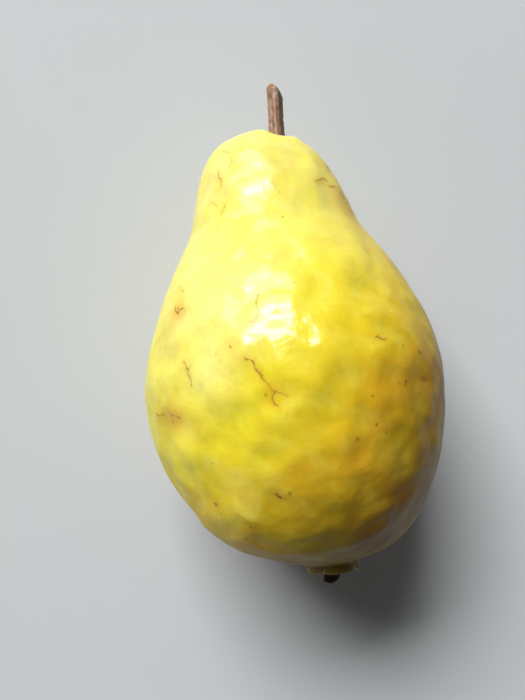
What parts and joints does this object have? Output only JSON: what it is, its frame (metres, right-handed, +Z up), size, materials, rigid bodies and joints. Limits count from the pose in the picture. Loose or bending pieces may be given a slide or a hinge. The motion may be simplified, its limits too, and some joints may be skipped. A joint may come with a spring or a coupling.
{
  "type": "guava",
  "caption": "Pear-shaped yellow guava lying on its side, with a short woody stalk in the neck and a dried calyx with its lobes and withered style at the blossom end.",
  "frame": {"origin": "on the surface that the fruit lies on, under the middle of its box", "axes": "+Z up, +Y along the fruit towards the stalk, -Y towards the calyx, +X to its right seen from above with the stalk ahead"},
  "size_m": [0.064, 0.1104, 0.0626],
  "materials": {
    "skin": "thin waxy peel, softly lumpy, lemon yellow with ochre and greener patches, brown dots and thin russet scars",
    "bark": "dry four-cornered woody stalk with slanting wrinkles and an orange-brown broken end",
    "calyx": "leathery lobes, olive at the root and dried to dark brown, with thin pale margins",
    "style": "withered dark brown thread"
  },
  "bodies": {
    "root": {"fruit": "skin", "stalk": "bark", "calyx_lobe_1": "calyx", "calyx_lobe_2": "calyx", "calyx_lobe_3": "calyx", "calyx_lobe_4": "calyx", "calyx_lobe_5": "calyx", "style": "style"}
  },
  "joints": []
}
